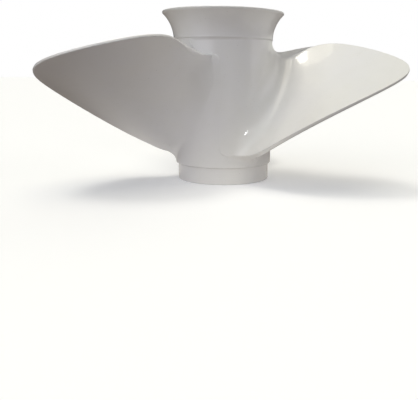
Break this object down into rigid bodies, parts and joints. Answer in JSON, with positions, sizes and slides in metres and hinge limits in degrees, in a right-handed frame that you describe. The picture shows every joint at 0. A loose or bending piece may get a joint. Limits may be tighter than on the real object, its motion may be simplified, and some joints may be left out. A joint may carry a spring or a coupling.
{
  "type": "outboard motor propeller",
  "caption": "Cast propeller for a small outboard motor: raked blades on a hub barrel with a flared rear end, exhaust passages through the hub, and a rubber bushing round a splined sleeve.",
  "frame": {"origin": "on the shaft's axis, in the plane of the front end face that the propeller stands on", "axes": "+Z along the shaft towards the rear, flared end; the root of one blade lies over +Y"},
  "size_m": [0.2083, 0.1929, 0.105],
  "materials": {
    "white_enamel": "glossy off-white enamel over cast aluminium",
    "black_rubber": "matt moulded rubber",
    "machined_metal": "turned and broached bronze, bare"
  },
  "bodies": {
    "root": {"propeller_casting": "white_enamel", "rubber_bushing": "black_rubber", "splined_sleeve": "machined_metal"}
  },
  "joints": []
}
